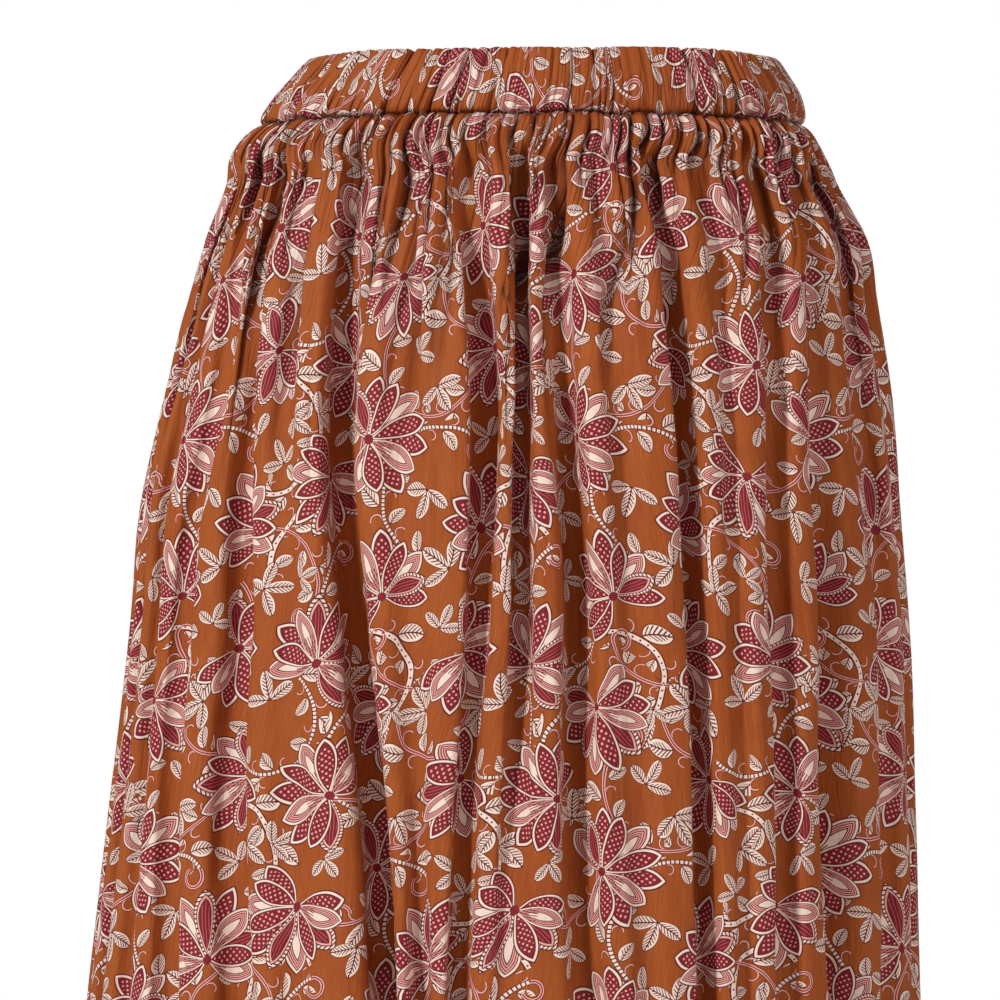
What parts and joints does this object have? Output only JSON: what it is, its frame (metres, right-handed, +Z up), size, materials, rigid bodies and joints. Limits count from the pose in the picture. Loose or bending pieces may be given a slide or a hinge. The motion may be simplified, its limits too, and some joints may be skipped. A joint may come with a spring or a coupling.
{
  "type": "midi skirt",
  "caption": "Hollow gathered midi skirt in printed cotton, held up at the waist by an elastic waistband casing, with loose folds down to an open hem.",
  "frame": {"origin": "the middle of the waistband's height, on the line down the middle of the waist", "axes": "+Z up towards the wearer's waist opening, front of the skirt towards -Y, +X to the right seen from the front"},
  "size_m": [0.515, 0.424, 0.818],
  "materials": {
    "skirt_cloth": "matte printed cotton, rust orange ground with cream and maroon flowers",
    "waistband_cloth": "matte printed cotton, gathered over elastic"
  },
  "bodies": {
    "root": {"waistband_front": "waistband_cloth", "waistband_back": "waistband_cloth", "panel_front": "skirt_cloth", "panel_back": "skirt_cloth"}
  },
  "joints": []
}
